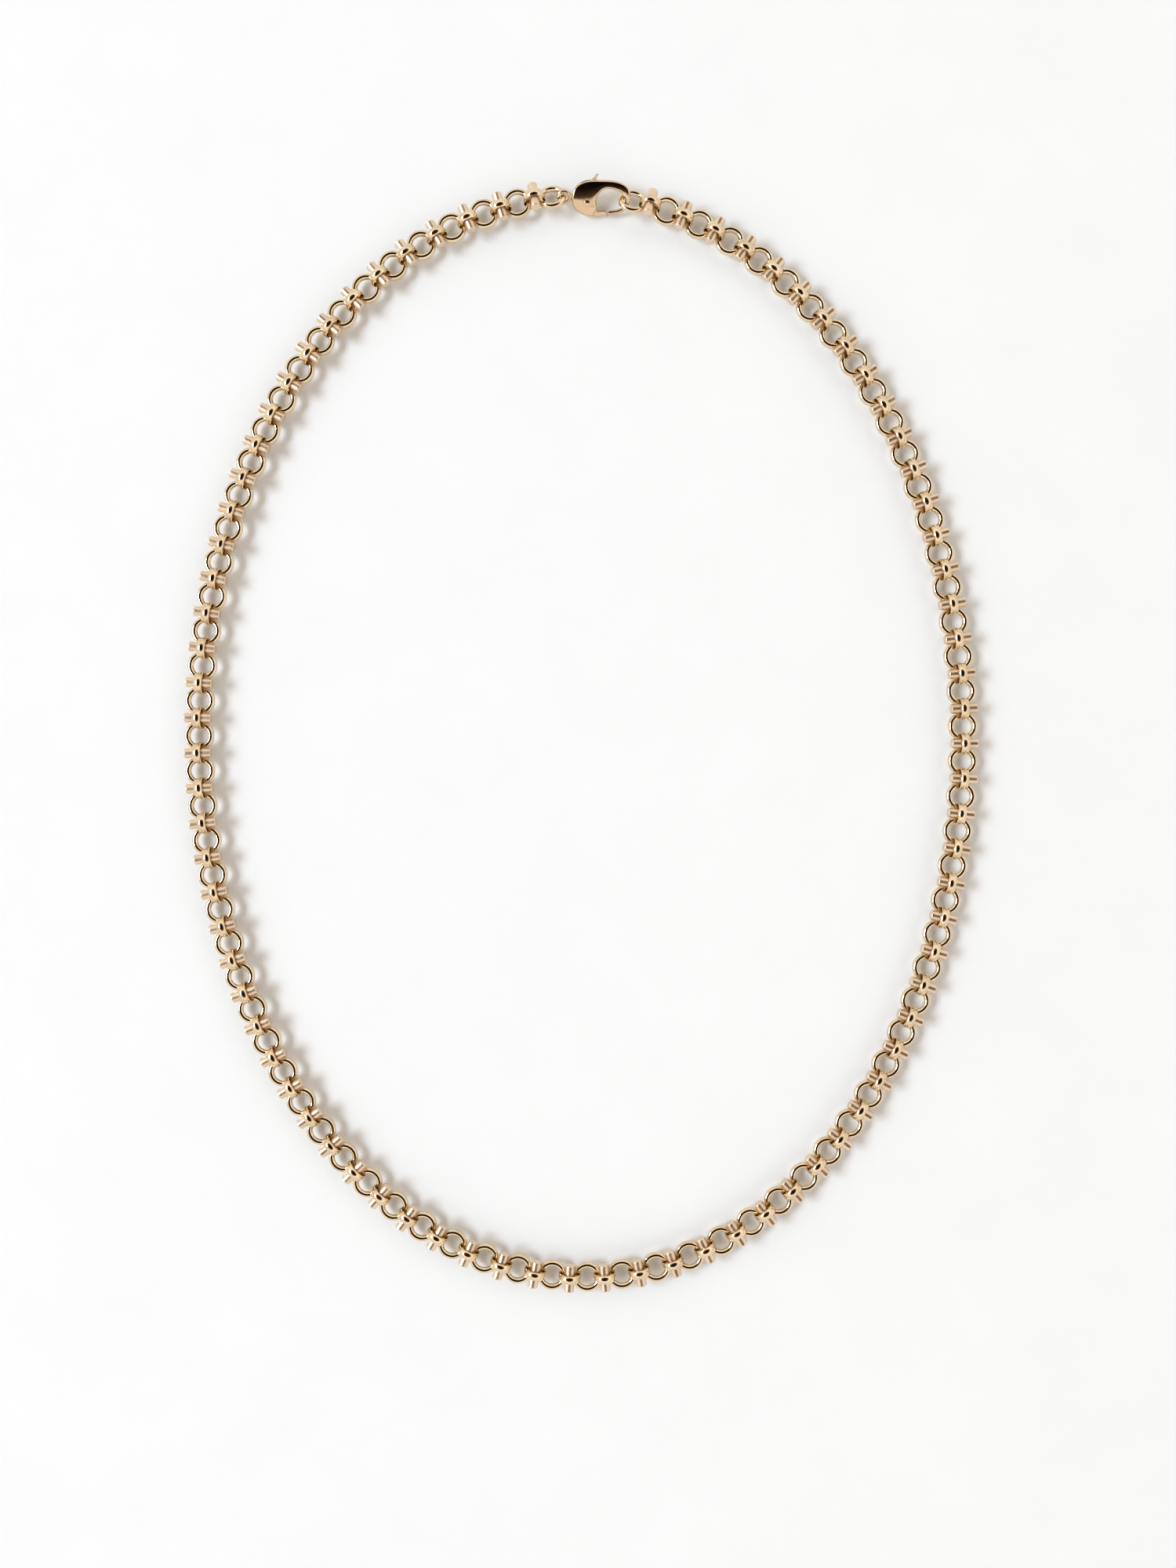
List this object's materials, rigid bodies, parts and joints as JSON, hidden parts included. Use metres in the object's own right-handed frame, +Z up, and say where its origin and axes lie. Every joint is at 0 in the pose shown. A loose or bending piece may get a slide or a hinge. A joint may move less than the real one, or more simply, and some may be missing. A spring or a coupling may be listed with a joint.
{
  "type": "chain necklace",
  "caption": "Flat oval loop of round wire rings joined by upright polished band links with captive cross bars, closed by a sprung lobster clasp.",
  "frame": {"origin": "middle of the underside of the whole necklace, lying flat in its oval", "axes": "+Z up, +Y towards the clasp along the oval's long way, +X across the oval"},
  "size_m": [0.1246, 0.1746, 0.0041],
  "materials": {
    "chain_gold": "mirror polished pale yellow gold plate",
    "clasp_gold": "polished warm gold plate",
    "spring_steel": "plain spring steel"
  },
  "bodies": {
    "strip_01": {"rings_01": "chain_gold", "band_links_01": "chain_gold", "cross_bars_01": "chain_gold", "end_ring_hook": "chain_gold", "end_ring_tail": "chain_gold"},
    "strip_02": {"rings_02": "chain_gold", "band_links_02": "chain_gold", "cross_bars_02": "chain_gold"},
    "strip_03": {"rings_03": "chain_gold", "band_links_03": "chain_gold", "cross_bars_03": "chain_gold"},
    "strip_04": {"rings_04": "chain_gold", "band_links_04": "chain_gold", "cross_bars_04": "chain_gold"},
    "strip_05": {"rings_05": "chain_gold", "band_links_05": "chain_gold", "cross_bars_05": "chain_gold"},
    "strip_06": {"rings_06": "chain_gold", "band_links_06": "chain_gold", "cross_bars_06": "chain_gold"},
    "strip_07": {"rings_07": "chain_gold", "band_links_07": "chain_gold", "cross_bars_07": "chain_gold"},
    "strip_08": {"rings_08": "chain_gold", "band_links_08": "chain_gold", "cross_bars_08": "chain_gold"},
    "strip_09": {"rings_09": "chain_gold", "band_links_09": "chain_gold", "cross_bars_09": "chain_gold"},
    "strip_10": {"rings_10": "chain_gold", "band_links_10": "chain_gold", "cross_bars_10": "chain_gold"},
    "strip_11": {"rings_11": "chain_gold", "band_links_11": "chain_gold", "cross_bars_11": "chain_gold"},
    "strip_12": {"rings_12": "chain_gold", "band_links_12": "chain_gold", "cross_bars_12": "chain_gold"},
    "strip_13": {"rings_13": "chain_gold", "band_links_13": "chain_gold", "cross_bars_13": "chain_gold"},
    "strip_14": {"rings_14": "chain_gold", "band_links_14": "chain_gold", "cross_bars_14": "chain_gold"},
    "strip_15": {"rings_15": "chain_gold", "band_links_15": "chain_gold", "cross_bars_15": "chain_gold"},
    "strip_16": {"rings_16": "chain_gold", "band_links_16": "chain_gold", "cross_bars_16": "chain_gold"},
    "clasp": {"clasp_body": "clasp_gold", "clasp_rivet": "clasp_gold", "clasp_spring": "spring_steel"},
    "gate": {"clasp_lever": "clasp_gold"}
  },
  "joints": [
    {"name": "fold_01", "type": "hinge", "parent": "strip_02", "child": "strip_01", "pos_m": [0.0015, 0.07778, 0.00142], "axis": [0.9989, -0.0467, 0], "range_deg": [-18, 16]},
    {"name": "fold_02", "type": "hinge", "parent": "strip_03", "child": "strip_02", "pos_m": [0.00126, 0.07123, 0.00142], "axis": [0.999, -0.0437, 0], "range_deg": [-18, 16]},
    {"name": "fold_03", "type": "hinge", "parent": "strip_04", "child": "strip_03", "pos_m": [0.00093, 0.05881, 0.00142], "axis": [0.9992, -0.0397, 0], "range_deg": [-18, 16]},
    {"name": "fold_04", "type": "hinge", "parent": "strip_05", "child": "strip_04", "pos_m": [0.00073, 0.04937, 0.00142], "axis": [0.9993, -0.0376, 0], "range_deg": [-18, 16]},
    {"name": "fold_05", "type": "hinge", "parent": "strip_06", "child": "strip_05", "pos_m": [0.00055, 0.0393, 0.00142], "axis": [0.9994, -0.0359, 0], "range_deg": [-18, 16]},
    {"name": "fold_06", "type": "hinge", "parent": "strip_07", "child": "strip_06", "pos_m": [0.00039, 0.02882, 0.00142], "axis": [0.9994, -0.0347, 0], "range_deg": [-18, 16]},
    {"name": "fold_07", "type": "hinge", "parent": "strip_08", "child": "strip_07", "pos_m": [0.00017, 0.0126, 0.00142], "axis": [0.9994, -0.0337, 0], "range_deg": [-18, 16]},
    {"name": "fold_08", "type": "hinge", "parent": "strip_08", "child": "strip_09", "pos_m": [0.00003, 0.00163, 0.00142], "axis": [-0.9994, 0.0335, 0], "range_deg": [-18, 16]},
    {"name": "fold_09", "type": "hinge", "parent": "strip_09", "child": "strip_10", "pos_m": [-0.0001, -0.00936, 0.00142], "axis": [-0.9994, 0.0336, 0], "range_deg": [-18, 16]},
    {"name": "fold_10", "type": "hinge", "parent": "strip_10", "child": "strip_11", "pos_m": [-0.00032, -0.02566, 0.00142], "axis": [-0.9994, 0.0344, 0], "range_deg": [-18, 16]},
    {"name": "fold_11", "type": "hinge", "parent": "strip_11", "child": "strip_12", "pos_m": [-0.00047, -0.03626, 0.00142], "axis": [-0.9994, 0.0355, 0], "range_deg": [-18, 16]},
    {"name": "fold_12", "type": "hinge", "parent": "strip_12", "child": "strip_13", "pos_m": [-0.00065, -0.04648, 0.00142], "axis": [-0.9993, 0.037, 0], "range_deg": [-18, 16]},
    {"name": "fold_13", "type": "hinge", "parent": "strip_13", "child": "strip_14", "pos_m": [-0.00084, -0.05615, 0.00142], "axis": [-0.9992, 0.039, 0], "range_deg": [-18, 16]},
    {"name": "fold_14", "type": "hinge", "parent": "strip_14", "child": "strip_15", "pos_m": [-0.00117, -0.0691, 0.00142], "axis": [-0.9991, 0.0428, 0], "range_deg": [-18, 16]},
    {"name": "fold_15", "type": "hinge", "parent": "strip_15", "child": "strip_16", "pos_m": [-0.0014, -0.07618, 0.00142], "axis": [-0.999, 0.0457, 0], "range_deg": [-18, 16]},
    {"name": "clasp_roll", "type": "hinge", "parent": "strip_01", "child": "clasp", "pos_m": [0.00178, 0.08418, 0.00188], "axis": [0.9987, -0.0506, -0.0003], "range_deg": [0, 40]},
    {"name": "lever_swing", "type": "hinge", "parent": "clasp", "child": "gate", "pos_m": [0.001, 0.08366, 0.00152], "axis": [-0.0276, -0.5439, 0.8387], "range_deg": [0, 25], "stiffness_Nm_per_rad": 0.0002, "springref_deg": -17.19, "deforming": ["clasp_spring"]}
  ]
}
